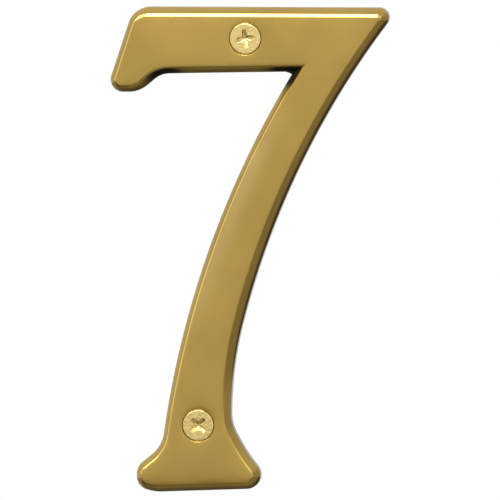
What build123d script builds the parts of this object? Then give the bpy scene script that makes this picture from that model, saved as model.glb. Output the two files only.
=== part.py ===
from build123d import *
from math import cos, radians, sin, tan
import os

# A number for a letterbox or a door: a solid brass figure seven, held by two countersunk wood screws.
# X runs across the figure and Z runs up it. The flat back lies in the plane Y = 0, against the wall.
# The face looks towards -Y, and the screws run towards +Y, into the wall.
# The origin is on the back, half way up the figure.

# Body of the figure
height = 101.6
plate_thickness = 4.8
bevel_run = 1.3
bevel_depth = 2.2
crease_radius = 1.2

# Bar across the top, with its hooked left end
bar_left = -24.2
bar_right = 31.5
bar_depth = 13.4
underside_rise = 1.1
end_slant = 18.3
lobe_hang = 4.4
lobe_inner = -23.1
hollow_slant = 41.0

# Leg, a long sweep that bends back to the left as it goes down
leg_left_top = 9.34
leg_left_foot = -18.3
leg_left_radius = 200.0
leg_right_joint = -1.36
leg_right_joint_drop = 66.2
leg_right_radius = 177.0
leg_right_foot = -3.77

# Foot, measured upwards from its lowest point
ankle_left_height = 9.6
ankle_right_height = 14.4
instep_height = 8.7
instep_right = -0.75
toe_left = -23.62
toe_left_top_height = 5.3
toe_left_low_height = 1.1
toe_left_flat = -19.8
toe_right = 5.25
sole_rise = 2.2

# Radii of the outline's corners
bar_left_radius = 4.8
bar_right_radius = 2.1
lobe_outer_radius = 2.6
lobe_inner_radius = 5.6
hollow_radius = 5.8
ankle_left_radius = 7.0
toe_left_top_radius = 3.2
toe_left_low_radius = 2.9
toe_left_flat_radius = 9.0
toe_right_radius = 2.9
instep_radius = 32.0
ankle_right_radius = 9.0

# Web that fills the root of the notch between bar and leg, and dies out up its walls
web_bar_length = 3.2
web_leg_length = 1.0
web_bite = 0.3

# Wood screws
screw_length = 25.4
thread_diameter = 3.5
thread_start = 6.0
neck_diameter = 2.9
head_diameter = 6.5
head_land = 0.15
head_sink = 0.05
head_angle = 82.0
point_length = 5.0
recess_span = 3.75
recess_width = 0.95
recess_depth = 1.5
recess_taper = 9.0
hole_clearance = 0.25
seat_clearance = 0.03

# Places of the screws
upper_screw_x = -0.6
upper_screw_drop = 6.5
upper_screw_turn = 10.0
lower_screw_x = -10.5
lower_screw_height = 14.1
lower_screw_turn = 45.0

top_z = height / 2
foot_z = -height / 2
underside_z = top_z - bar_depth
lobe_z = underside_z - lobe_hang

# Sharp corners of the outline, before they are rounded
bar_top_left = (bar_left, top_z)
lobe_outer = (bar_left - (top_z - lobe_z) * tan(radians(end_slant)), lobe_z)
lobe_corner = (lobe_inner, lobe_z)
notch = (leg_left_top, underside_z)
rise = tan(radians(underside_rise))
climb = tan(radians(hollow_slant))
hollow_run = (underside_z - lobe_z - rise * (leg_left_top - lobe_inner)) / (climb - rise)
hollow = (lobe_inner + hollow_run, lobe_z + climb * hollow_run)
ankle_left = (leg_left_foot, foot_z + ankle_left_height)
toe_left_top = (toe_left, foot_z + toe_left_top_height)
toe_left_low = (toe_left, foot_z + toe_left_low_height)
sole_left = (toe_left_flat, foot_z)
sole_right = (toe_right, foot_z + (toe_right - toe_left_flat) * tan(radians(sole_rise)))
instep = (instep_right, foot_z + instep_height)
ankle_right = (leg_right_foot, foot_z + ankle_right_height)
leg_right_joint_point = (leg_right_joint, top_z - leg_right_joint_drop)
bar_top_right = (bar_right, top_z)

corner_radii = [
    (bar_top_left, bar_left_radius),
    (lobe_outer, lobe_outer_radius),
    (lobe_corner, lobe_inner_radius),
    (hollow, hollow_radius),
    (ankle_left, ankle_left_radius),
    (toe_left_top, toe_left_top_radius),
    (toe_left_low, toe_left_low_radius),
    (sole_left, toe_left_flat_radius),
    (sole_right, toe_right_radius),
    (instep, instep_radius),
    (ankle_right, ankle_right_radius),
    (bar_top_right, bar_right_radius),
]

# Screw places: name, X, Z and the turn at which the recess came to rest
screws = [
    ("upper_screw", upper_screw_x, top_z - upper_screw_drop, upper_screw_turn),
    ("lower_screw", lower_screw_x, foot_z + lower_screw_height, lower_screw_turn),
]

head_radius = head_diameter / 2
thread_radius = thread_diameter / 2
neck_radius = neck_diameter / 2
head_slope = tan(radians(head_angle / 2))
cone_height = (head_radius - neck_radius) / head_slope
seat_radius = head_radius + (head_sink + head_land) * head_slope + seat_clearance
hole_radius = thread_radius + hole_clearance

os.makedirs("parts", exist_ok=True)

# The figure: its outline thickened, bevelled round the face, the crease of the bevel rounded, and drilled
with BuildPart() as figure:
    with BuildSketch(Plane.XZ) as outline:
        with BuildLine():
            Polyline(bar_top_right, bar_top_left, lobe_outer, lobe_corner, hollow, notch)
            leg_left = RadiusArc(notch, ankle_left, -leg_left_radius)
            Polyline(ankle_left, toe_left_top, toe_left_low, sole_left, sole_right, instep, ankle_right)
            leg_right = RadiusArc(bar_top_right, leg_right_joint_point, -leg_right_radius)
            TangentArc(leg_right_joint_point, ankle_right, tangent=leg_right % 1)
        make_face()
        for corner, radius in corner_radii:
            fillet(outline.vertices().sort_by_distance(corner)[0], radius)
    extrude(amount=plate_thickness)
    face = figure.faces().sort_by(Axis.Y)[0]
    chamfer(face.edges(), length=bevel_run, length2=bevel_depth, reference=face)
    crease = figure.faces().sort_by(Axis.Y)[0].edges()
    fillet(crease, crease_radius)

    web_start = (notch[0] - web_bar_length, notch[1] - web_bar_length * rise)
    web_end = leg_left @ (web_leg_length / leg_left.length)
    web_root = (notch[0] + web_bite, notch[1] + web_bite)
    with BuildSketch(Plane.XZ) as web:
        with BuildLine():
            TangentArc(web_start, web_end, tangent=(1, rise))
            Polyline(web_end, web_root, web_start)
        make_face()
    loft(sections=[web.sketch, Vertex(web_root[0], bevel_depth - plate_thickness, web_root[1])])

    with Locations(Plane.XZ.offset(plate_thickness)):
        with Locations(*[(x, z) for name, x, z, turn in screws]):
            CounterSinkHole(hole_radius, seat_radius, counter_sink_angle=head_angle)
figure.part.label = "figure_seven"
export_step(figure.part, "parts/figure_seven.step")

# The screws: each turned about its own axis, with a cross recess cut into its flat head
for name, x, z, turn in screws:
    section = Plane(origin=(x, head_sink - plate_thickness, z), x_dir=(1, 0, 0), z_dir=(0, 0, 1))
    recess_x = (cos(radians(turn)), 0, sin(radians(turn)))
    head_top = Plane(origin=section.origin, x_dir=recess_x, z_dir=(0, -1, 0))
    with BuildPart() as screw:
        with BuildSketch(section):
            with BuildLine():
                Polyline(
                    (0, 0),
                    (head_radius, 0),
                    (head_radius, head_land),
                    (neck_radius, head_land + cone_height),
                    (neck_radius, thread_start),
                    (thread_radius, thread_start),
                    (thread_radius, screw_length - point_length),
                    (0, screw_length),
                    close=True,
                )
            make_face()
        revolve(axis=Axis(section.origin, section.y_dir))
        with BuildSketch(head_top):
            Rectangle(recess_span, recess_width)
            Rectangle(recess_width, recess_span)
        extrude(amount=-recess_depth, taper=recess_taper, mode=Mode.SUBTRACT)
    screw.part.label = name
    export_step(screw.part, f"parts/{name}.step")
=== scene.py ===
from math import ceil, cos, pi, radians, sin, tan

import bpy
import numpy as np
from bpy.props import FloatProperty, FloatVectorProperty, IntProperty, PointerProperty
from mathutils import Matrix, Vector
from mathutils.geometry import delaunay_2d_cdt


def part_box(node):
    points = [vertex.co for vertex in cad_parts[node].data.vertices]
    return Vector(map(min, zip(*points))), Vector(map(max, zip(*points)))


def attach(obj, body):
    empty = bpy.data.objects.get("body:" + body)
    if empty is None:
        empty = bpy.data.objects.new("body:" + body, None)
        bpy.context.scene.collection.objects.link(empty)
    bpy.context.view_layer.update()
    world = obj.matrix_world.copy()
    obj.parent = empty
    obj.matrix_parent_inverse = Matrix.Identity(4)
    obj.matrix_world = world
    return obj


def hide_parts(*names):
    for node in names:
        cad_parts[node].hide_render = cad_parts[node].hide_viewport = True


bl_info = {
    "name": "Letterbox number seven",
    "version": (1, 0, 0),
    "blender": (4, 5, 0),
    "location": "View3D > Sidebar > Letterbox number",
    "description": "A solid satin brass figure seven with buffed edges, and its two countersunk wood screws",
    "category": "Object",
}

# The frame gives the whole height and thickness of the figure and the places of its screws.
# X runs across the figure, Z runs up it, and the flat back lies in the plane Y = 0, so the face looks to -Y.
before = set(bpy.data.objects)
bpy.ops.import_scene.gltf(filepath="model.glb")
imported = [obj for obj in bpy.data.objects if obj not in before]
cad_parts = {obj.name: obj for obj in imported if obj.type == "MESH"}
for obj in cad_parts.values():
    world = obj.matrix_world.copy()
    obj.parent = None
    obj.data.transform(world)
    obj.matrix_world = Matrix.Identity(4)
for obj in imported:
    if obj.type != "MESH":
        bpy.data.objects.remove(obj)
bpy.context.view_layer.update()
FIGURE_LOW, FIGURE_HIGH = (np.array(corner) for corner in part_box("figure_seven"))
SCREW_NODES = ("upper_screw", "lower_screw")
SCREW_BOXES = {name: [np.array(corner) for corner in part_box(name)] for name in SCREW_NODES}

MM = 0.001
THICKNESS = -FIGURE_LOW[1]
TOP = FIGURE_HIGH[2]
FOOT = -TOP

# Bar across the top, with its hooked left end
BAR_LEFT = -24.2 * MM
BAR_RIGHT = 31.5 * MM
UNDERSIDE = TOP - 13.4 * MM
UNDERSIDE_RISE = radians(1.1)
END_SLANT = radians(18.3)
LOBE_BOTTOM = UNDERSIDE - 4.4 * MM
LOBE_INNER = -23.1 * MM
HOLLOW_SLANT = radians(41.0)

# Leg, a long sweep that bends back to the left as it goes down
LEG_LEFT_TOP = 9.34 * MM
LEG_LEFT_RADIUS = 200.0 * MM
LEG_RIGHT_JOINT = (-1.36 * MM, TOP - 66.2 * MM)
LEG_RIGHT_RADIUS = 177.0 * MM

# Foot, with heights measured upwards from its lowest point
ANKLE_LEFT = (-18.3 * MM, FOOT + 9.6 * MM)
ANKLE_RIGHT = (-3.77 * MM, FOOT + 14.4 * MM)
INSTEP = (-0.75 * MM, FOOT + 8.7 * MM)
TOE_LEFT_TOP = (-23.62 * MM, FOOT + 5.3 * MM)
TOE_LEFT_LOW = (-23.62 * MM, FOOT + 1.1 * MM)
SOLE_LEFT = (-19.8 * MM, FOOT)
TOE_RIGHT = 5.25 * MM
SOLE_RISE = radians(2.2)

# Radius of each corner: the bar's top left, the lobe's two, the hollow, the notch with none, the left ankle,
# the toe's two on the left, the sole's two, the instep, the right ankle, the leg's smooth joint with none,
# and the bar's top right
HOLLOW_RADIUS = 5.8 * MM
CORNER_RADII = (4.8 * MM, 2.6 * MM, 5.6 * MM, HOLLOW_RADIUS, None, 7.0 * MM, 3.2 * MM, 2.9 * MM, 9.0 * MM,
                2.9 * MM, 32.0 * MM, 9.0 * MM, None, 2.1 * MM)

# Web in the root of the notch between bar and leg
WEB_BAR_LENGTH = 3.2 * MM
WEB_LEG_LENGTH = 1.0 * MM

# Holes for the screws
HOLE_RADIUS = 2.0 * MM
SEAT_CLEARANCE = 0.03 * MM

# How finely the surfaces are divided
OUTLINE_STEP = 0.5 * MM
OUTLINE_TURN = radians(4.0)
FACE_STEP = 0.6 * MM
HOLE_SIDES = 120
SCREW_SIDES = 192
WEB_STEPS = 14
WALL_STEPS = 8
NEWTON_STEPS = 12
CREASE_STEPS, BEVEL_STEPS, EDGE_STEPS = 12, 8, 5
THREAD_STEPS = 14

# Cross recess: its floor and its mouth as shares of its span and width, the share of its depth at the edge of
# its floor, the rounding of its lip, and the powers that shape a bar's end and the corners between two bars
RECESS_FLOOR = np.array([0.52, 0.72])
RECESS_MOUTH = np.array([0.98, 0.94])
RECESS_FLOOR_DEPTH = 0.8
RECESS_LIP = 0.05 * MM
BAR_POWER = 7
CROSS_POWER = 2.5

# Thread: half the width of its ridge as a share of its pitch, the run in which it starts, and the powers of
# the taper of its core and crest in the point
THREAD_HALF_WIDTH = 0.26
THREAD_RUN_IN = 0.4 * MM
CORE_POWER = 0.8
CREST_POWER = 0.6

# Finish of the figure: how far buffing reaches in over the face, its first depth in the crease and its last
# on the side wall, its shares at the face, in the crease, at the wall's top and below that, how far the
# painted shade under the bar reaches, how far the hollow's middle lies before the underside's start, as a
# share of the hollow's radius, and the heights between which the painted sheen beside the leg grows and then
# dies out
BUFF_REACH = 0.5 * MM
BUFFED_CREASE = 0.1 * MM
BUFFED_WALL = 1.0 * MM
BUFFED_SHARES = (0.35, 1.0, 0.8, 0.2)
UNDERSIDE_REACH = 2.5 * MM
HOLLOW_MIDDLE = 0.4
PAINTED_SHEEN_GROWS = (-25.0 * MM, 12.0 * MM)
PAINTED_SHEEN_ENDS = (18.0 * MM, 32.0 * MM)

# Lamps: name, place, width and height, and the setting that holds the power
LAMPS = (
    ("key_light", (-0.065, -0.75, 0.66), (0.32, 0.84), "key_power"),
    ("corner_light", (-0.52, -0.55, 0.66), (0.7, 0.45), "corner_power"),
    ("left_light", (-0.9, -0.26, 0.3), (0.6, 0.6), "left_power"),
    ("right_light", (0.5, -0.7, 0.5), (0.5, 0.4), "right_power"),
)

# Dark places on the grey card below the figure: middle, half length and width, turn and strength of each
CARD_SHADES = (
    ((0.5, 0.4), (0.95, 0.31), radians(22.0), 1.0),
    ((-0.25, -0.3), (0.3, 0.45), 0.0, 0.7),
)
CARD_LIFT = 10.0 * MM

# Pale screen: the directions that it spans, round from the front, the columns and rows of its corners, the
# places across between which its left side turns whiter, by which share, and where its top starts to
SCREEN_SPAN = (radians(60.0), radians(265.0))
SCREEN_COLUMNS, SCREEN_ROWS = 42, 9
SCREEN_LEFT = (-1.2, -0.2)
SCREEN_LEFT_SHARE = 0.6
SCREEN_WHITENS = 0.1


def kind_of_setting(make, **usual):
    """A function that makes settings of one kind, each from its name, its description and its default."""
    def setting(name, description, default, **more):
        return make(name=name, description=description, default=default, **(usual | more))
    return setting


a_length = kind_of_setting(FloatProperty, min=0.0, unit="LENGTH")
an_angle = kind_of_setting(FloatProperty, subtype="ANGLE")
a_share = kind_of_setting(FloatProperty, min=0.0, max=1.0, subtype="FACTOR")
a_strength = kind_of_setting(FloatProperty, min=0.0)
a_power = kind_of_setting(FloatProperty, min=0.0, unit="POWER")
a_colour = kind_of_setting(FloatVectorProperty, min=0.0, max=1.0, subtype="COLOR")
a_shift = kind_of_setting(FloatVectorProperty, subtype="TRANSLATION")
a_number = kind_of_setting(IntProperty)


class FigureSettings(bpy.types.PropertyGroup):
    """Edges and finish of the figure."""

    bevel_reach: a_length("Bevel reach", "How far bevel and crease reach in over the face", 1.8 * MM)
    face_shift: a_shift(
        "Face shift", "How far the face's outline is off the middle of the back's",
        (-0.25 * MM, 0.0, -0.28 * MM), unit="LENGTH")
    bevel_tilt: an_angle("Bevel tilt", "Angle between the middle of the bevel and the face", radians(57.0))
    bevel_crown: an_angle(
        "Bevel crown", "Turn of the bevel each way from flat, as buffing leaves it", radians(8.0))
    crease_radius: a_length("Crease radius", "Rounding between bevel and face", 1.2 * MM)
    edge_radius: a_length("Edge radius", "Rounding between bevel and side", 0.5 * MM)
    back_radius: a_length("Back edge radius", "Rounding between side and back", 0.2 * MM)
    face_roll: an_angle("Face roll", "Slope of the face where it meets the crease", radians(2.5))
    roll_reach: a_length("Roll reach", "Distance in which the slope of the face dies out", 1.2 * MM)
    dish_depth: a_length("Dish depth", "How far buffing has sunk the face at a screw hole", 0.05 * MM)
    dish_reach: a_length("Dish reach", "Distance in which the dish round a hole dies out", 0.9 * MM)
    rim_radius: a_length("Hole rim radius", "Rounding of the countersink's edge", 0.1 * MM)
    brass: a_colour("Brass", "Colour of the satin brass", (0.403, 0.26, 0.039))
    warm_brass: a_colour("Warm brass", "Colour of the warmer patches of the brass", (0.452, 0.292, 0.051))
    # The next five settings give the painted shade that darkens the edges near the notch, the hollow beside
    # the lobe and the bar's underside, where shade falls: how far it reaches, how deep it grows and its
    # colour
    notch_painted_shade: a_length(
        "Notch tarnish", "How far from the notch the wheel didn't buff the edge", 5.5 * MM, min=0.1 * MM)
    hollow_painted_shade: a_length(
        "Hollow tarnish", "How far from the hollow beside the lobe the wheel didn't buff", 5.0 * MM,
        min=0.1 * MM)
    underside_painted_shade: a_share("Underside tarnish", "Tarnish along the bar's whole underside", 0.35)
    painted_shade_depth: a_length(
        "Tarnish depth", "Depth below the face at which unbuffed brass is fully dark", 0.15 * MM,
        min=0.01 * MM)
    # Colour of the painted shade on the edges
    painted_shade_colour: a_colour("Dark brass", "Colour of the brass where it wasn't buffed", (0.012, 0.008, 0.002))
    # Painted sheen: a paler streak along the leg's left side that stands in for the glow of light beside the
    # crease
    streak_width: a_length(
        "Streak width", "Width of the pale streak of haze along the leg's left side", 3.5 * MM,
        min=0.1 * MM)
    patch_shift: a_shift("Patch shift", "Shift of the face's warmer and cooler patches", (0.1, 0.0, 0.0))
    # Colour of the painted sheen
    painted_sheen: a_colour("Haze", "Colour of the brass below the haze", (0.54, 0.395, 0.14))
    face_roughness: a_share("Face roughness", "Roughness of the satin face", 0.24)
    edge_roughness: a_share("Edge roughness", "Roughness of the buffed crease and bevel", 0.14)
    lacquer: a_share("Lacquer", "Weight of the clear lacquer", 0.8)


class ScrewSettings(bpy.types.PropertyGroup):
    """Shape and finish of the wood screws."""

    head_land: a_length("Head land", "Height of the head's straight edge", 0.15 * MM)
    head_angle: an_angle("Head angle", "Whole angle of the countersunk head", radians(82.0))
    rim_radius: a_length("Rim radius", "Rounding of the head's rim", 0.14 * MM)
    neck_diameter: a_length("Neck diameter", "Diameter between head and thread", 2.9 * MM)
    root_diameter: a_length("Root diameter", "Diameter at the root of the thread", 2.4 * MM)
    thread_diameter: a_length("Thread diameter", "Diameter over the crest of the thread", 3.5 * MM)
    thread_start: a_length("Thread start", "Distance from the head's top to the thread", 6.0 * MM)
    thread_pitch: a_length("Thread pitch", "Distance between turns of the thread", 1.41 * MM, min=0.1 * MM)
    point_length: a_length("Point length", "Length of the tapered point", 5.0 * MM)
    recess_span: a_length("Recess span", "Cross recess from tip to tip at the head's top", 3.75 * MM)
    recess_width: a_length("Recess width", "Width of the cross recess's wings at the head's top", 0.95 * MM)
    recess_depth: a_length("Recess depth", "Depth of the cross recess", 0.8 * MM)
    upper_turn: an_angle("Upper screw turn", "Turn at which the upper screw came to rest", radians(10.0))
    lower_turn: an_angle("Lower screw turn", "Turn at which the lower screw came to rest", radians(45.0))
    plating: a_colour("Plating", "Colour of the bright brass plating", (0.73, 0.56, 0.22))
    roughness: a_share("Roughness", "Roughness of the bright plating", 0.22)


class StageSettings(bpy.types.PropertyGroup):
    """Camera, floor and light of the picture."""

    view_azimuth: an_angle(
        "View azimuth", "How far the camera stands to the right of the face's normal", radians(6.0))
    view_elevation: an_angle(
        "View elevation", "How far the camera stands above the face's normal", radians(3.4))
    view_width: a_length("View width", "Width of the picture at the figure", 104.6 * MM)
    view_across: a_length(
        "View centre across", "Where the picture's centre lies across the figure", -0.08 * MM, min=-1.0)
    view_up: a_length(
        "View centre up", "Where the picture's centre lies up the figure", -0.14 * MM, min=-1.0)
    camera_distance: a_length("Camera distance", "Distance from camera to figure", 3.0, min=0.1)
    floor_drop: a_length("Floor drop", "Height of the figure's middle above the floor", 0.25)
    floor_radius: a_length("Floor radius", "Radius of the round floor", 1.6)
    floor_colour: a_colour("Floor colour", "Colour of the pale floor", (0.6, 0.6, 0.6))
    card_glow: a_colour(
        "Card glow", "Light of the grey card below, which the lower edges reflect", (0.42, 0.40, 0.35))
    shade_glow: a_colour("Shade glow", "Light of the dark places on the grey card", (0.09, 0.075, 0.055))
    screen_glow: a_colour(
        "Screen glow", "Light of the pale screen right of and behind the figure", (0.57, 0.55, 0.5))
    screen_radius: a_length("Screen radius", "Distance of the screen from the figure", 1.3, min=0.1)
    screen_height: a_length("Screen height", "Height of the screen's top above the figure's middle", 1.3)
    room_light: a_strength("Room light", "Strength of the light that comes from all round", 0.3)
    key_power: a_power("Key power", "Power of the tall soft light above the face", 9.0)
    corner_power: a_power("Corner power", "Power of the soft light above and left of the figure", 5.0)
    left_power: a_power("Left power", "Power of the soft light on the left", 0.9)
    right_power: a_power("Right power", "Power of the soft light on the right", 0.7)
    floor_sides: a_number("Floor sides", "Number of straight sides round the floor", 96, min=8)


def unit(vector):
    """A vector divided by its length."""
    return vector / np.linalg.norm(vector, axis=-1, keepdims=True)


def left_of(direction):
    """A direction in the outline's plane, turned a quarter turn to the left."""
    return np.stack([-direction[..., 1], direction[..., 0]], axis=-1)


class Line:
    """A straight stretch of the outline, with the brass on its left."""

    def __init__(self, start, end):
        self.start, self.end = np.array(start, float), np.array(end, float)
        self.inward = left_of(unit(self.end - self.start))

    def depth(self, point):
        """How deep in the brass a point lies, and the direction inwards: the distance from the line."""
        inward = np.broadcast_to(self.inward, np.shape(point))
        return np.sum((point - self.start) * inward, axis=-1), inward

    def between(self, first, last, inset, share):
        """Points that divide the straight way from first to last in the given shares."""
        return first + share * (last - first)

    def count(self):
        """Number of steps that the stretch is divided into."""
        return max(2, ceil(np.linalg.norm(self.end - self.start) / OUTLINE_STEP))


class Arc:
    """A round stretch of the outline. Its turn is 1 where it curves round the brass, and otherwise -1."""

    def __init__(self, start, end, centre, turn):
        self.start, self.end, self.centre = (np.array(point, float) for point in (start, end, centre))
        self.turn = turn
        self.radius = np.linalg.norm(self.start - self.centre)

    def depth(self, point):
        """How deep in the brass a point lies, and the direction inwards: the radius less the distance to
        the centre, or the other way round where the arc curves away."""
        away = point - self.centre
        distance = np.linalg.norm(away, axis=-1)
        return self.turn * (self.radius - distance), -self.turn * away / distance[..., None]

    def sweep(self, first, last):
        """The angle at which first is seen from the centre, and the angle from there on to last."""
        ways = first - self.centre, last - self.centre
        begin, end = (np.arctan2(way[..., 1], way[..., 0]) for way in ways)
        return begin, self.turn * np.mod(self.turn * (end - begin), 2 * pi)

    def between(self, first, last, inset, share):
        """Points at even steps of angle from first to last, at the radius less the inset."""
        begin, angle = self.sweep(first, last)
        angles = begin[..., None] + share * angle[..., None]
        radius = self.radius - self.turn * inset
        return self.centre + radius * np.concatenate([np.cos(angles), np.sin(angles)], axis=-1)

    def count(self):
        """Number of steps that the stretch is divided into."""
        angle = abs(self.sweep(self.start, self.end)[1])
        return ceil(max(angle * self.radius / OUTLINE_STEP, angle / OUTLINE_TURN))


def arc_of_radius(start, end, radius, turn):
    """The arc whose centre lies on the middle line of start and end, one radius from both."""
    start, end = np.array(start), np.array(end)
    half = np.linalg.norm(end - start) / 2
    centre = (start + end) / 2 + turn * left_of(unit(end - start)) * np.sqrt(radius**2 - half**2)
    return Arc(start, end, centre, turn)


def arc_along(start, end, joint, direction):
    """The arc from start to end that runs along a direction at its joint, which is one of its two ends:
    its centre lies square to the direction, as far from the joint as from the other end."""
    start, end, joint = (np.array(point, float) for point in (start, end, joint))
    chord = start + end - 2 * joint
    normal = left_of(unit(np.array(direction, float)))
    reach = chord @ chord / (2 * chord @ normal)
    return Arc(start, end, joint + reach * normal, 1 if reach > 0 else -1)


def meeting(first, second, corner, depth):
    """The point that lies at the given depth under both stretches, by Newton's method from their corner."""
    depth = np.asarray(depth, float)
    point = np.broadcast_to(corner, depth.shape + (2,)).copy()
    for _ in range(NEWTON_STEPS):
        (depth_a, slope_a), (depth_b, slope_b) = first.depth(point), second.depth(point)
        slopes = np.stack([slope_a, slope_b], axis=-2)
        misses = np.stack([depth_a - depth, depth_b - depth], axis=-1)
        point = point - np.linalg.solve(slopes, misses[..., None])[..., 0]
    return point


def rounded(stretches, radii):
    """The outline with an arc in each corner that has a radius: the arc's centre lies one radius deep under
    both stretches, or as far outside where the corner is hollow, and both are cut back to its ends."""
    corners = [stretch.end.copy() for stretch in stretches]
    result = []
    for first, second, corner, radius in zip(stretches, stretches[1:] + stretches[:1], corners, radii):
        result.append(first)
        if radius is None:
            continue
        (_, inward_a), (_, inward_b) = first.depth(corner), second.depth(corner)
        turn = 1 if inward_a[0] * inward_b[1] > inward_a[1] * inward_b[0] else -1
        centre = meeting(first, second, corner, turn * radius)
        first.end = centre - turn * radius * first.depth(centre)[1]
        second.start = centre - turn * radius * second.depth(centre)[1]
        result.append(Arc(first.end, second.start, centre, turn))
    return result


def figure_outline():
    """The stretches of the outline, anticlockwise as the face is seen, with the two that meet in the notch
    and the arc of the web that fills the notch's root at the back."""
    rise, climb = tan(UNDERSIDE_RISE), tan(HOLLOW_SLANT)
    hollow_run = (UNDERSIDE - LOBE_BOTTOM - rise * (LEG_LEFT_TOP - LOBE_INNER)) / (climb - rise)
    hollow = (LOBE_INNER + hollow_run, LOBE_BOTTOM + climb * hollow_run)
    notch, bar_top_right = (LEG_LEFT_TOP, UNDERSIDE), (BAR_RIGHT, TOP)
    lobe_outer = (BAR_LEFT - (TOP - LOBE_BOTTOM) * tan(END_SLANT), LOBE_BOTTOM)
    bar = [bar_top_right, (BAR_LEFT, TOP), lobe_outer, (LOBE_INNER, LOBE_BOTTOM), hollow]
    sole_right = (TOE_RIGHT, FOOT + (TOE_RIGHT - SOLE_LEFT[0]) * tan(SOLE_RISE))
    foot = [ANKLE_LEFT, TOE_LEFT_TOP, TOE_LEFT_LOW, SOLE_LEFT, sole_right, INSTEP, ANKLE_RIGHT]

    underside = Line(hollow, notch)
    leg_left = arc_of_radius(notch, ANKLE_LEFT, LEG_LEFT_RADIUS, 1)
    leg_right = arc_of_radius(LEG_RIGHT_JOINT, bar_top_right, LEG_RIGHT_RADIUS, -1)
    along_joint = leg_right.turn * left_of(leg_right.start - leg_right.centre)
    calf = arc_along(ANKLE_RIGHT, LEG_RIGHT_JOINT, LEG_RIGHT_JOINT, along_joint)

    along_underside = unit(underside.end - underside.start)
    web_start = underside.end - WEB_BAR_LENGTH * along_underside
    leg_length = leg_left.radius * abs(leg_left.sweep(leg_left.start, leg_left.end)[1])
    web_end = leg_left.between(leg_left.start, leg_left.end, 0.0, WEB_LEG_LENGTH / leg_length)
    web = arc_along(web_start, web_end, web_start, along_underside)

    stretches = [*map(Line, bar, bar[1:]), underside, leg_left, *map(Line, foot, foot[1:]), calf, leg_right]
    return rounded(stretches, CORNER_RADII), underside, leg_left, web


def edge_profile(settings):
    """Inset from the outline, depth behind the face, share of buffing and share of the notch's web of each
    row of the edge, from the face round to the back. On a round stretch the inset shrinks by the radius times
    the growth of the tilt's sine, and the depth grows by the radius times the fall of its cosine. The bevel
    is such a stretch, with the large radius at which all three together reach in as far as they should."""
    bevel_start = settings.bevel_tilt - settings.bevel_crown
    bevel_end = settings.bevel_tilt + settings.bevel_crown
    crease_run = settings.crease_radius * (sin(bevel_start) - sin(settings.face_roll))
    edge_run = settings.edge_radius * (1 - sin(bevel_end))
    bevel_run = settings.bevel_reach - crease_run - edge_run
    bends = [
        (settings.face_roll, bevel_start, settings.crease_radius, CREASE_STEPS),
        (bevel_start, bevel_end, bevel_run / (sin(bevel_end) - sin(bevel_start)), BEVEL_STEPS),
        (bevel_end, pi / 2, settings.edge_radius, EDGE_STEPS),
    ]
    tilt = np.concatenate([[settings.face_roll]] + [np.linspace(a, b, n + 1)[1:] for a, b, _, n in bends])
    radius = np.repeat([bend[2] for bend in bends], [bend[3] for bend in bends])
    run = np.concatenate([[0.0], np.cumsum(radius * np.diff(np.sin(tilt)))])
    drop = settings.roll_reach * tan(settings.face_roll)
    depth = drop + np.concatenate([[0.0], np.cumsum(-radius * np.diff(np.cos(tilt)))])
    wall_top = depth[-1]
    wall = np.linspace(wall_top, THICKNESS - settings.back_radius, WALL_STEPS + 1)[1:]
    back_turn = np.linspace(0, pi / 2, EDGE_STEPS)[1:]
    inset = np.concatenate([run[-1] - run, 0 * wall, settings.back_radius * (1 - np.cos(back_turn))])
    depth = np.concatenate([depth, wall, wall[-1] + settings.back_radius * np.sin(back_turn)])
    buffed_depths = [drop, drop + BUFFED_CREASE, wall_top, wall_top + BUFFED_WALL]
    buffed = np.interp(depth, buffed_depths, BUFFED_SHARES)
    web_share = np.clip((depth - wall_top) / (THICKNESS - wall_top), 0, 1)
    return inset, depth, buffed, web_share


def outline_rows(stretches, underside, leg_left, web, inset, web_share):
    """The outline at each inset, one row each, and which of its columns belong to the web. Each stretch is
    divided between its own two ends at that inset. In the notch those are the point at the inset's depth
    under both stretches, moved apart by the web's ends, and the web lies between them at its share."""
    notch = leg_left.start
    corner = meeting(underside, leg_left, notch, inset)
    share_of_web = web_share[:, None]
    inset = inset[:, None]
    columns, web_columns = [], []
    for stretch in stretches:
        first = stretch.start + inset * stretch.depth(stretch.start)[1]
        last = stretch.end + inset * stretch.depth(stretch.end)[1]
        if stretch is underside:
            last = corner + share_of_web * (web.start - notch)
        if stretch is leg_left:
            first = corner + share_of_web * (web.end - notch)
        share = (np.arange(stretch.count()) / stretch.count())[:, None]
        columns.append(stretch.between(first[:, None], last[:, None], inset[..., None], share))
        web_columns.append(np.zeros(len(share), bool))
        if stretch is underside:
            share = (np.arange(WEB_STEPS) / WEB_STEPS)[:, None]
            arc = web.between(web.start[None], web.end[None], 0.0, share)
            columns.append(corner[:, None] + share_of_web[..., None] * (arc - notch))
            web_columns.append(np.ones(WEB_STEPS, bool))
    return np.concatenate(columns, axis=1), np.concatenate(web_columns)


def numbered(*grids):
    """The vertex numbers of grids of points that follow one another in a mesh, in the shape of each grid."""
    sizes = [grid[..., 0].size for grid in grids]
    numbers = np.split(np.arange(sum(sizes)), np.cumsum(sizes)[:-1])
    return [part.reshape(grid.shape[:-1]) for part, grid in zip(numbers, grids)]


def grid_triangles(ids, closed=True):
    """Triangles of a band of vertex numbers, rows by columns, that face outwards where the rows run from
    front to back and the columns anticlockwise. A closed band goes on from its last column to its first. A
    triangle with a repeated corner is left out."""
    upper, lower = ids[:-1], ids[1:]
    upper_next, lower_next = np.roll(upper, -1, axis=1), np.roll(lower, -1, axis=1)
    halves = [np.stack([upper, lower, lower_next], -1), np.stack([upper, lower_next, upper_next], -1)]
    columns = slice(None if closed else -1)
    triangles = np.concatenate([half[:, columns].reshape(-1, 3) for half in halves])
    a, b, c = triangles.T
    return triangles[(a != b) & (b != c) & (c != a)]


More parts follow.
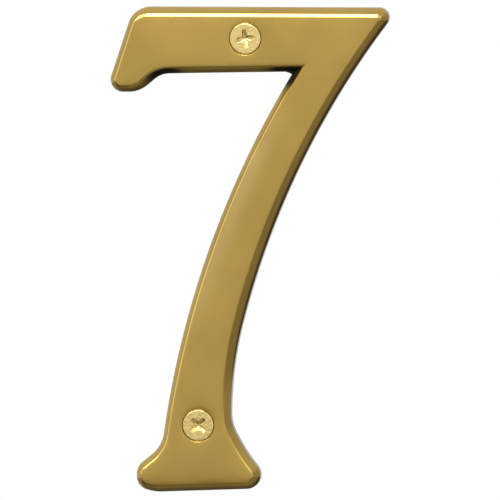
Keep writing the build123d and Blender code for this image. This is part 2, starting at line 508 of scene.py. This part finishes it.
def distance_inside(points, loop):
    """How deep each point lies inside a closed loop of straight pieces, or less than nothing outside it: the
    least distance to a piece, with the sign from the number of pieces crossed by a line to the right."""
    step = np.roll(loop, -1, axis=0) - loop
    depths = []
    for batch in np.array_split(points, max(1, len(points) * len(loop) // 2_000_000)):
        offset = batch[:, None] - loop
        share = np.clip(np.sum(offset * step, axis=-1) / np.sum(step**2, axis=-1), 0, 1)
        gap = np.linalg.norm(offset - share[..., None] * step, axis=-1).min(axis=1)
        passes = (offset[..., 1] >= 0) != (offset[..., 1] >= step[:, 1])
        height = np.where(step[:, 1] == 0, 1.0, step[:, 1])
        right = offset[..., 0] < step[:, 0] * offset[..., 1] / height
        depths.append(np.where(np.sum(passes & right, axis=1) % 2 == 1, gap, -gap))
    return np.concatenate(depths)


def filled(plane, loops, inner):
    """Triangles that fill the first loop of vertex numbers, less the other loops, anticlockwise as the face
    is seen, with the inner vertices as corners too: a Delaunay net, without the triangles whose centres lie
    outside the first loop or inside another."""
    ids = np.concatenate([*loops, inner])
    starts = np.cumsum([0] + [len(loop) for loop in loops])
    edges = [np.stack([start + np.arange(n), start + (np.arange(n) + 1) % n], -1)
             for start, n in zip(starts, map(len, loops))]
    net = delaunay_2d_cdt((plane[ids] / MM).tolist(), np.concatenate(edges).tolist(), [], 1, 1e-9)
    if len(net[0]) != len(ids):
        raise RuntimeError("the net of the face has lost or gained corners")
    triangles = ids[np.array(net[2])]
    centres = plane[triangles].mean(axis=1)
    kept = distance_inside(centres, plane[loops[0]]) > 0
    for hole in loops[1:]:
        kept &= distance_inside(centres, plane[hole]) < 0
    return triangles[kept]


def raised(plane, height):
    """Points of the outline's plane as places in the figure, each at its height."""
    return np.stack([plane[..., 0], np.broadcast_to(height, plane.shape[:-1]), plane[..., 1]], -1)


def hole_rim(centre, seat_radius, head_angle, settings):
    """The circle where the rounding of the countersink's edge meets the face, clockwise."""
    angle = -np.arange(HOLE_SIDES) * 2 * pi / HOLE_SIDES
    rim_start = seat_radius + settings.rim_radius * tan((pi - head_angle) / 4)
    return centre + rim_start * np.stack([np.cos(angle), np.sin(angle)], -1)


def hole_rows(centre, seat_radius, head_angle, rim, settings):
    """One hole, from its rim on the face round into the countersink's cone and down the bore to the back:
    circles whose radius and height follow a straight profile with rounded ends. The rim follows the face."""
    half = head_angle / 2
    turn = np.linspace(0, pi / 2 - half, 5)
    rim_circle = hole_rim(centre, seat_radius, head_angle, settings) - centre
    rim_start = np.linalg.norm(rim_circle[0])
    rim_radius = rim_start - settings.rim_radius * np.sin(turn)
    rim_drop = settings.rim_radius * (1 - np.cos(turn))
    cone_end = -THICKNESS + (seat_radius - HOLE_RADIUS) / tan(half)
    share = np.linspace(0, 1, 10)[1:]
    back_turn = np.linspace(0, pi / 2, 4)
    radius = np.concatenate([rim_radius, rim_radius[-1] + share * (HOLE_RADIUS - rim_radius[-1]),
                             HOLE_RADIUS + settings.rim_radius * (1 - np.cos(back_turn))])
    places = centre + radius[:, None, None] * rim_circle / rim_start
    rim_rows = rim + rim_drop[:, None]
    cone_rows = rim_rows[-1] + share[:, None] * (cone_end - rim_rows[-1])
    back_height = settings.rim_radius * (np.sin(back_turn) - 1)
    return raised(places, np.concatenate([rim_rows, cone_rows, np.tile(back_height[:, None], HOLE_SIDES)]))


def recess_radius(angle, size):
    """Distance from the axis to the edge of a cross of two rounded bars, at each angle, for each row of half
    length and half width: a bar's edge is a superellipse, and the cross is the smooth greater of the two."""
    across, up = np.abs(np.cos(angle)), np.abs(np.sin(angle))
    length, width = size[..., :1], size[..., 1:]
    bars = [((p / length) ** BAR_POWER + (q / width) ** BAR_POWER) ** (-1 / BAR_POWER)
            for p, q in ((across, up), (up, across))]
    return (bars[0] ** CROSS_POWER + bars[1] ** CROSS_POWER) ** (1 / CROSS_POWER)


def screw_rows(settings, length, head_radius):
    """Radius and depth of each row of a screw, from the middle of its recess out over the head and down to
    the point. The recess is a cross that narrows as it deepens. The thread is a ridge on a cone or cylinder,
    whose place on the turn moves on by one turn for each pitch of depth."""
    angle = np.arange(SCREW_SIDES) * 2 * pi / SCREW_SIDES
    half = np.array([settings.recess_span, settings.recess_width]) / 2
    floor, mouth = half * RECESS_FLOOR, half * RECESS_MOUTH
    deepest = settings.recess_depth
    floor_depth = deepest * RECESS_FLOOR_DEPTH
    pit_share = np.linspace(0, 1, 6)[:-1, None]
    wall_share = np.linspace(0, 1, 9)[:-1, None]
    wall_radius = recess_radius(angle, floor + wall_share * (mouth - floor))
    lip_turn = np.linspace(0, pi / 2, 4)[:, None]
    lip_radius = recess_radius(angle, mouth + RECESS_LIP * (1 - np.cos(lip_turn)))

    top_edge = head_radius - settings.rim_radius
    top_share = np.linspace(0, 1, 9)[1:-1, None]
    rim_turn = np.linspace(0, pi / 2, 6)[:, None]
    neck = settings.neck_diameter / 2
    cone_depth = settings.head_land + (head_radius - neck) / tan(settings.head_angle / 2)
    cone = np.linspace((head_radius, settings.head_land), (neck, cone_depth), 9)[1:]
    shank = np.linspace((neck, cone_depth), (neck, settings.thread_start - THREAD_RUN_IN), 7)[1:]

    start, crest, root = settings.thread_start, settings.thread_diameter / 2, settings.root_diameter / 2
    turns = (length - start) / settings.thread_pitch
    depth = np.linspace(start - THREAD_RUN_IN / 2, length, ceil(turns * THREAD_STEPS))[:, None]
    taper = np.clip((length - depth) / settings.point_length, 0, 1)
    core = np.interp(depth, [start, start + THREAD_RUN_IN], [neck, root]) * taper**CORE_POWER
    turn = np.mod(angle / (2 * pi) + depth / settings.thread_pitch, 1)
    ridge = np.clip(1 - np.abs(turn - 0.5) / THREAD_HALF_WIDTH, 0, 1)
    ridge = ridge * np.clip((depth - start) / settings.thread_pitch, 0, 1)

    bands = [
        (pit_share * wall_radius[0], deepest + pit_share * (floor_depth - deepest)),
        (wall_radius, floor_depth + wall_share * (RECESS_LIP - floor_depth)),
        (lip_radius, RECESS_LIP * (1 - np.sin(lip_turn))),
        (lip_radius[-1] + top_share * (top_edge - lip_radius[-1]), 0 * top_share),
        (top_edge + settings.rim_radius * np.sin(rim_turn), settings.rim_radius * (1 - np.cos(rim_turn))),
        (cone[:, :1], cone[:, 1:]),
        (shank[:, :1], shank[:, 1:]),
        (core + (crest * taper**CREST_POWER - core) * ridge, depth),
    ]
    bands = [np.broadcast_arrays(*band, angle)[:2] for band in bands]
    radius, depth = (np.concatenate(part) for part in zip(*bands))
    return angle, radius, depth


def new_object(name, data):
    """A new object in the scene that holds a mesh, a lamp or a camera."""
    holder = bpy.data.objects.new(name, data)
    bpy.context.scene.collection.objects.link(holder)
    return holder


def new_piece(name, vertices, triangles, material):
    """A smooth mesh object from arrays of corners and triangles, with unused corners dropped. Creases of
    more than 30 degrees stay sharp."""
    used, triangles = np.unique(triangles, return_inverse=True)
    vertices, triangles = vertices[used], triangles.reshape(-1, 3)
    mesh = bpy.data.meshes.new(name)
    mesh.vertices.add(len(vertices))
    mesh.vertices.foreach_set("co", vertices.astype(np.float32).ravel())
    mesh.loops.add(triangles.size)
    mesh.loops.foreach_set("vertex_index", triangles.astype(np.int32).ravel())
    mesh.polygons.add(len(triangles))
    mesh.polygons.foreach_set("loop_start", np.arange(0, triangles.size, 3, dtype=np.int32))
    mesh.update(calc_edges=True)
    mesh.validate()
    mesh.shade_smooth()
    mesh.set_sharp_from_angle(angle=radians(30))
    mesh.materials.append(material)
    return new_object(name, mesh), used


class Value:
    """A number that a node gives, on which maths is written as on any number."""

    def __init__(self, shader, socket):
        self.shader, self.socket = shader, socket

    def maths(self, operation, first, second):
        return self.shader.add("ShaderNodeMath", {"operation": operation}, {0: first, 1: second})

    def __add__(self, other):
        return self.maths("ADD", self, other)

    def __sub__(self, other):
        return self.maths("SUBTRACT", self, other)

    def __rsub__(self, other):
        return self.maths("SUBTRACT", other, self)

    def __mul__(self, other):
        return self.maths("MULTIPLY", self, other)

    __radd__ = __add__
    __rmul__ = __mul__


class Shader:
    """The nodes of one material or of the world."""

    def __init__(self, owner):
        owner.use_nodes = True
        self.owner, self.tree = owner, owner.node_tree
        self.tree.nodes.clear()

    def add(self, kind, settings=None, inputs=None, output=0):
        """A new node: its settings first, then a value or a link for each named socket."""
        node = self.tree.nodes.new(kind)
        for name, setting in (settings or {}).items():
            setattr(node, name, setting)
        for name, value in (inputs or {}).items():
            if isinstance(value, Value):
                self.tree.links.new(value.socket, node.inputs[name])
            else:
                node.inputs[name].default_value = value
        return Value(self, node.outputs[output] if node.outputs else None)

    def place(self):
        """The place in the object."""
        return self.add("ShaderNodeTexCoord", output="Object")

    def axis(self, place, name):
        """One of the three coordinates of a place."""
        return self.add("ShaderNodeSeparateXYZ", None, {0: place}, output=name)

    def away(self, place, middle, size, turn=0.0):
        """Distance of a place from a middle, along axes turned about Z and each divided by its own size."""
        local = self.add("ShaderNodeMapping", {"vector_type": "TEXTURE"}, {
            "Vector": place, "Location": middle, "Rotation": (0.0, 0.0, turn), "Scale": size})
        return self.add("ShaderNodeVectorMath", {"operation": "LENGTH"}, {0: local}, output="Value")

    def noise(self, place, scale, detail=2.0, roughness=0.5):
        """Soft noise from 0 to 1 at a place in the object."""
        return self.add("ShaderNodeTexNoise", None,
                        {"Vector": place, "Scale": scale, "Detail": detail, "Roughness": roughness})

    def stretched(self, place, scale):
        """A place with each axis scaled by its own factor."""
        return self.add("ShaderNodeMapping", None, {"Vector": place, "Scale": scale})

    def smooth(self, value, low, high):
        """0 below low and 1 above high, with a smooth step between."""
        return self.add("ShaderNodeMapRange", {"interpolation_type": "SMOOTHSTEP"},
                        {"Value": value, "From Min": low, "From Max": high})

    def mix(self, factor, first, second):
        """A colour between first and second."""
        inputs = {"Factor": factor, 6: first, 7: second}
        return self.add("ShaderNodeMix", {"data_type": "RGBA"}, inputs, output=2)

    def bump(self, height, distance, normal=None):
        """The normal of a surface raised by height times distance, on top of another bump if one is given."""
        inputs = {"Height": height, "Distance": distance}
        if normal is not None:
            inputs["Normal"] = normal
        return self.add("ShaderNodeBump", None, inputs)

    def surface(self, kind, inputs):
        """Ends the material in a surface of the given kind, and returns the material."""
        self.add("ShaderNodeOutputMaterial", None, {"Surface": self.add(kind, None, inputs)})
        return self.owner


def new_shader(name):
    """The nodes of a new material."""
    return Shader(bpy.data.materials.new(name))


def colour(values):
    """A setting's colour with full cover, as a colour socket takes it."""
    return (*values, 1.0)


def satin_brass(settings, leg_left):
    """Lacquered satin brass: warmer and cooler patches and fine lengthwise grain on the face, a streak of
    pale painted sheen along the leg's left side, buffed edges that are smoother than the face, painted shade
    on them near the notch, the hollow and the bar's underside, and a ground back with crosswise lines and no
    lacquer."""
    shader = new_shader("satin_brass")
    place = shader.place()
    buffed, ground, tarnish = (shader.add("ShaderNodeAttribute", {"attribute_name": name}, output="Fac")
                               for name in ("buffed", "ground", "tarnish"))
    shifted = shader.add(
        "ShaderNodeVectorMath", {"operation": "ADD"}, {0: place, 1: tuple(settings.patch_shift)})
    patches = shader.smooth(shader.noise(shifted, 70.0, 2.0), 0.35, 0.7)
    grain = shader.noise(shader.stretched(place, (900.0, 900.0, 60.0)), 4.0, 3.0, 0.6)
    lines = shader.noise(shader.stretched(place, (1400.0, 1.0, 40.0)), 3.0, 2.0, 0.6)
    waves = shader.noise(place, 38.0, 1.0)
    # Painted shade: near the notch, the hollow and the bar's underside the edges are made dark, rougher and
    # less metallic, and lose their lacquer
    painted_shade_share = shader.smooth(tarnish + (patches - 0.5) * 0.1, 0.1, 1.0)

    # How far a place lies in from the leg's left side is the arc's radius less the distance to its centre
    centre = (leg_left.centre[0], 0.0, leg_left.centre[1])
    across = leg_left.radius - shader.away(place, centre, (1.0, 1000.0, 1.0))
    reach, along = settings.bevel_reach, shader.axis(place, "Z")
    # The streak is painted sheen: paler brass along the leg's left side where light glows beside the crease
    streak = shader.smooth(across, 0.5 * reach, reach)
    streak = streak * (1 - shader.smooth(across, reach, reach + settings.streak_width))
    streak = streak * shader.smooth(along, *PAINTED_SHEEN_GROWS) * (1 - shader.smooth(along, *PAINTED_SHEEN_ENDS))

    base = shader.mix(patches, colour(settings.brass), colour(settings.warm_brass))
    base = shader.mix(ground * (0.3 + lines * 0.5), base, colour(settings.brass))
    # Painted shade darkens the edges
    base = shader.mix(painted_shade_share, base, colour(settings.painted_shade_colour))
    # Painted sheen: the streak turns the brass paler
    base = shader.mix(streak * (0.5 + patches * 0.3), base, colour(settings.painted_sheen))
    roughness = settings.face_roughness + (patches - 0.5) * 0.03 + (grain - 0.5) * 0.04
    roughness = roughness + buffed * (settings.edge_roughness - settings.face_roughness)
    roughness = roughness + ground * (0.08 + (lines - 0.5) * 0.2) + painted_shade_share * 0.4
    normal = shader.bump(waves, 0.10 * MM)
    normal = shader.bump(grain * (1 - buffed), 0.0012 * MM, normal)
    normal = shader.bump(lines * ground, 0.01 * MM, normal)
    return shader.surface("ShaderNodeBsdfPrincipled", {
        "Base Color": base, "Metallic": 1 - painted_shade_share * 0.7, "Roughness": roughness, "Normal": normal,
        "Specular IOR Level": 0.1, "Coat Weight": settings.lacquer * (1 - ground) * (1 - painted_shade_share),
        "Coat Roughness": 0.16, "Coat IOR": 1.5})


def bright_plating(settings):
    """Bright brass plating on a pressed screw: small hammered waves, with a few duller spots."""
    shader = new_shader("bright_plating")
    place = shader.place()
    waves = shader.noise(place, 900.0, 2.0)
    spots = shader.smooth(shader.noise(place, 2200.0, 2.0), 0.5, 0.75)
    base = shader.mix(spots, colour(settings.plating), colour([part * 0.86 for part in settings.plating]))
    return shader.surface("ShaderNodeBsdfPrincipled", {
        "Base Color": base, "Metallic": 1.0, "Roughness": settings.roughness + spots * 0.1,
        "Normal": shader.bump(waves, 0.07 * MM)})


def painted_shade_of(settings, underside, plane, drop):
    """How much painted shade each point of the edge gets. It falls off as a bell with the
    distance from the notch, from the middle of the hollow beside the lobe and, from a lower peak, from the
    underside of the bar, and it grows from nothing at the face to its whole over a small drop."""
    run = underside.end - underside.start
    hollow = underside.start - HOLLOW_MIDDLE * HOLLOW_RADIUS * unit(run)
    share = np.clip((plane - underside.start) @ run / (run @ run), 0, 1)[:, None]
    bells = [(underside.end, settings.notch_painted_shade, 1.0), (hollow, settings.hollow_painted_shade, 1.0),
             (underside.start + share * run, UNDERSIDE_REACH, settings.underside_painted_shade)]
    tarnish = sum(peak * np.exp(-(np.linalg.norm(plane - place, axis=-1) / reach) ** 2)
                  for place, reach, peak in bells)
    return tarnish * np.clip(drop / settings.painted_shade_depth, 0, 1)


class LETTERBOX_OT_figure(bpy.types.Operator):
    """Make the brass figure seven with its bevelled edge and screw holes"""

    bl_idname = "letterbox.make_figure"
    bl_label = "Make the figure seven"

    def execute(self, context):
        settings, screws = context.scene.letterbox_figure, context.scene.letterbox_screws
        stretches, underside, leg_left, web = figure_outline()
        inset, depth, buffed, web_share = edge_profile(settings)
        rows, in_web = outline_rows(stretches, underside, leg_left, web, inset, web_share)
        shifted = inset * (depth < THICKNESS / 2) / inset[0]
        rows = rows + shifted[:, None, None] * np.array(settings.face_shift)[[0, 2]]
        edge = raised(rows, (depth - THICKNESS)[:, None])

        seats = []
        for low, high in SCREW_BOXES.values():
            head_drop = low[1] + THICKNESS + screws.head_land
            radius = (high[0] - low[0]) / 2 + head_drop * tan(screws.head_angle / 2) + SEAT_CLEARANCE
            seats.append(((low + high)[[0, 2]] / 2, radius))
        face_loop = rows[0][~in_web]

        def face_height(points, gap):
            """Height of the face: level, rolled down towards the crease and sunk towards the holes, each
            by a depth that dies out with the distance."""
            rolled = np.exp(-gap / settings.roll_reach)
            beyond = [np.linalg.norm(points - centre, axis=-1) - radius for centre, radius in seats]
            sunk = sum(np.exp(-np.clip(distance, 0, None) / settings.dish_reach) for distance in beyond)
            drop = settings.roll_reach * tan(settings.face_roll)
            return -THICKNESS + drop * rolled + settings.dish_depth * sunk * (1 - rolled)

        holes = []
        for centre, radius in seats:
            rim = hole_rim(centre, radius, screws.head_angle, settings)
            height = face_height(rim, distance_inside(rim, face_loop))
            holes.append(hole_rows(centre, radius, screws.head_angle, height, settings))
        low, high = face_loop.min(axis=0), face_loop.max(axis=0)
        lattice = np.meshgrid(*(np.arange(a, b, FACE_STEP) for a, b in zip(low, high)))
        inner = np.stack(lattice, -1).reshape(-1, 2)
        gap = distance_inside(inner, face_loop)
        clear = gap > FACE_STEP / 2
        for (centre, _), hole in zip(seats, holes):
            rim = np.linalg.norm(hole[0, 0, [0, 2]] - centre)
            clear &= np.linalg.norm(inner - centre, axis=-1) > rim + FACE_STEP / 2
        inner, gap = inner[clear], gap[clear]
        parts = (edge, *holes, raised(inner, face_height(inner, gap)))

        vertices = np.concatenate([part.reshape(-1, 3) for part in parts])
        edge_ids, *hole_ids, inner_ids = numbered(*parts)
        notch_column = np.flatnonzero(in_web)[-1] + 1
        folded = np.ix_(web_share == 0, in_web)
        edge_ids[folded] = edge_ids[web_share == 0][:, [notch_column]]
        plane = vertices[:, [0, 2]]
        front = filled(plane, [edge_ids[0][~in_web]] + [ids[0] for ids in hole_ids], inner_ids)
        back = filled(plane, [edge_ids[-1]] + [ids[-1] for ids in hole_ids], inner_ids[:0])
        bands = [grid_triangles(ids) for ids in (edge_ids, *hole_ids)]
        triangles = np.concatenate([*bands, front, back[:, ::-1]])
        vertices = np.clip(vertices, FIGURE_LOW, FIGURE_HIGH)

        figure, used = new_piece("figure", vertices, triangles, satin_brass(settings, leg_left))
        buffing = np.zeros(len(vertices))
        buffing[:edge_ids.size] = np.repeat(buffed, edge_ids.shape[1])
        buffing[inner_ids] = buffed[0] * np.exp(-gap / BUFF_REACH)
        ground = (vertices[:, 1] > -settings.back_radius / 2).astype(float)
        # Painted shade on the edge near the notch, the hollow and the bar's underside
        tarnish = painted_shade_of(settings, underside, plane, vertices[:, 1] - edge[0, 0, 1]) * (1 - ground)
        tarnish[edge_ids.size:] = 0
        for name, values in (("buffed", buffing), ("ground", ground), ("tarnish", tarnish)):
            attribute = figure.data.attributes.new(name, "FLOAT", "POINT")
            attribute.data.foreach_set("value", values[used].astype(np.float32))
        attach(figure, "root")
        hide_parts("figure_seven")
        return {"FINISHED"}


class LETTERBOX_OT_screws(bpy.types.Operator):
    """Make the two countersunk wood screws"""

    bl_idname = "letterbox.make_screws"
    bl_label = "Make the screws"

    def execute(self, context):
        settings = context.scene.letterbox_screws
        material = bright_plating(settings)
        turns = (settings.upper_turn, settings.lower_turn)
        for (name, (low, high)), turn in zip(SCREW_BOXES.items(), turns):
            angle, radius, depth = screw_rows(settings, high[1] - low[1], (high[0] - low[0]) / 2)
            centre = (low + high) / 2
            vertices = np.stack([centre[0] + radius * np.cos(angle + turn), low[1] + depth,
                                 centre[2] + radius * np.sin(angle + turn)], -1)
            ids, = numbered(vertices)
            ids[0], ids[-1] = ids[0, 0], ids[-1, 0]
            screw, _ = new_piece(name.replace("_screw", "_wood_screw"), vertices.reshape(-1, 3),
                                 grid_triangles(ids), material)
            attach(screw, "root")
            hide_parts(name)
        return {"FINISHED"}


class LETTERBOX_OT_stage(bpy.types.Operator):
    """Set the floor, the light and the camera"""

    bl_idname = "letterbox.set_stage"
    bl_label = "Set the stage"

    def execute(self, context):
        settings = context.scene.letterbox_stage
        scene = context.scene
        scene.view_settings.view_transform = "Standard"
        lay_floor(settings)
        light_room(settings)
        for name, place, size, power in LAMPS:
            add_lamp(name, place, size, getattr(settings, power))
        spread_card(settings)
        raise_screen(settings)
        scene.camera = aimed_camera(settings)
        return {"FINISHED"}


def lay_floor(settings):
    """A round pale floor below the figure: a centre and a circle of corners."""
    angle = np.arange(settings.floor_sides) * 2 * pi / settings.floor_sides
    circle = np.stack([np.cos(angle), np.sin(angle), 0 * angle], -1) * settings.floor_radius
    vertices = np.concatenate([circle, np.zeros((1, 3))]) - [0.0, 0.0, settings.floor_drop]
    first = np.arange(settings.floor_sides)
    triangles = np.stack([first, np.roll(first, -1), np.full_like(first, settings.floor_sides)], -1)
    material = new_shader("pale_floor").surface(
        "ShaderNodeBsdfPrincipled", {"Base Color": colour(settings.floor_colour), "Roughness": 0.8})
    floor, _ = new_piece("floor", vertices, triangles, material)


def light_room(settings):
    """A world that is white where the camera or the metal sees it, and a soft even light elsewhere."""
    world = bpy.data.worlds.new("studio")
    bpy.context.scene.world = world
    shader = Shader(world)
    camera, glossy, through = (shader.add("ShaderNodeLightPath", output=f"Is {ray} Ray")
                               for ray in ("Camera", "Glossy", "Transmission"))
    white = camera + glossy + through
    strength = settings.room_light + white * (1 - settings.room_light)
    light = shader.add("ShaderNodeBackground", None, {"Color": (1, 1, 1, 1), "Strength": strength})
    shader.add("ShaderNodeOutputWorld", None, {"Surface": light})


def standing(place, back):
    """The transform of something flat at a place, whose back looks in the given direction."""
    return Matrix.Translation(place) @ Vector(back).to_track_quat("Z", "Y").to_matrix().to_4x4()


def place_glowing(name, vertices, triangles, shader, glow):
    """Something that shows in reflections only, and gives off the light that the metal sees there."""
    material = shader.surface("ShaderNodeEmission", {"Color": glow, "Strength": 1.0})
    card, _ = new_piece(name, vertices, triangles, material)
    card.visible_camera = card.visible_diffuse = card.visible_shadow = False


def spread_card(settings):
    """A grey card of four corners that lies just above the floor, with soft dark places on it. Each is an
    ellipse, in which the shade dies out with the distance from its middle."""
    half = settings.floor_radius
    corners = np.array([[-half, -half], [half, -half], [half, half], [-half, half]])
    vertices = np.concatenate([corners, np.full((4, 1), CARD_LIFT - settings.floor_drop)], axis=1)
    shader = new_shader("grey_card")
    place = shader.place()
    light = 1.0
    for middle, size, turn, strength in CARD_SHADES:
        away = shader.away(place, (*middle, 0.0), (*size, 100.0), turn)
        light = light * (1 - strength * (1 - shader.smooth(away, 0.5, 1.0)))
    glow = shader.mix(light, colour(settings.shade_glow), colour(settings.card_glow))
    place_glowing("grey_card", vertices, np.array([[0, 1, 2], [0, 2, 3]]), shader, glow)


def raise_screen(settings):
    """A pale screen that stands on the floor right of and behind the figure: part of a cylinder, whose light
    grows to white at its top and is nearer to white on the left."""
    angle = np.linspace(*SCREEN_SPAN, SCREEN_COLUMNS)
    height = np.linspace(-settings.floor_drop, settings.screen_height, SCREEN_ROWS)
    angle, height = np.meshgrid(angle, height, indexing="ij")
    across, away = settings.screen_radius * np.sin(angle), -settings.screen_radius * np.cos(angle)
    vertices = np.stack([across, away, height], -1)
    triangles = grid_triangles(*numbered(vertices), closed=False)
    shader = new_shader("pale_screen")
    place = shader.place()
    white = colour((1.0, 1.0, 1.0))
    left = 1 - shader.smooth(shader.axis(place, "X"), *SCREEN_LEFT)
    side = shader.mix(left * SCREEN_LEFT_SHARE, colour(settings.screen_glow), white)
    high = shader.smooth(shader.axis(place, "Z"), SCREEN_WHITENS, settings.screen_height)
    glow = shader.mix(high, side, white)
    place_glowing("pale_screen", vertices.reshape(-1, 3), triangles, shader, glow)


def add_lamp(name, place, size, power):
    """A soft rectangular lamp that looks at the figure's middle. The camera doesn't see it."""
    lamp = bpy.data.lights.new(name, "AREA")
    lamp.shape = "RECTANGLE"
    lamp.size, lamp.size_y = size
    lamp.energy = power
    holder = new_object(name, lamp)
    holder.matrix_world = standing(place, place)
    holder.visible_camera = False


def aimed_camera(settings):
    """A camera with a long lens that looks at the picture's centre from the view's azimuth and elevation."""
    azimuth, elevation = settings.view_azimuth, settings.view_elevation
    right = Vector((cos(azimuth), sin(azimuth), 0.0))
    back = Vector((sin(azimuth) * cos(elevation), -cos(azimuth) * cos(elevation), sin(elevation)))
    up = back.cross(right)
    data = bpy.data.cameras.new("view")
    data.lens = data.sensor_width * settings.camera_distance / settings.view_width
    data.clip_end = 2 * settings.camera_distance
    camera = new_object("view", data)
    place = right * settings.view_across + up * settings.view_up + back * settings.camera_distance
    camera.matrix_world = Matrix.Translation(place) @ Matrix((right, up, back)).transposed().to_4x4()
    return camera


class LETTERBOX_PT_number(bpy.types.Panel):
    """Buttons and settings of the letterbox number"""

    bl_label = "Letterbox number"
    bl_space_type = "VIEW_3D"
    bl_region_type = "UI"
    bl_category = "Letterbox number"

    def draw(self, context):
        for operator, _, group in STEPS:
            box = self.layout.box()
            box.operator(operator.bl_idname)
            settings = getattr(context.scene, group)
            for name in settings.bl_rna.properties.keys():
                if name not in ("name", "rna_type"):
                    box.prop(settings, name)


STEPS = (
    (LETTERBOX_OT_figure, FigureSettings, "letterbox_figure"),
    (LETTERBOX_OT_screws, ScrewSettings, "letterbox_screws"),
    (LETTERBOX_OT_stage, StageSettings, "letterbox_stage"),
)
CLASSES = (*(made for step in STEPS for made in step[:2]), LETTERBOX_PT_number)


def register():
    for made in CLASSES:
        bpy.utils.register_class(made)
    for _, settings, group in STEPS:
        setattr(bpy.types.Scene, group, PointerProperty(type=settings))


def unregister():
    for _, _, group in STEPS:
        delattr(bpy.types.Scene, group)
    for made in reversed(CLASSES):
        bpy.utils.unregister_class(made)


def main():
    """Registers the classes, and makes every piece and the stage."""
    register()
    bpy.ops.letterbox.make_figure()
    bpy.ops.letterbox.make_screws()
    bpy.ops.letterbox.set_stage()


if __name__ == "__main__":
    main()
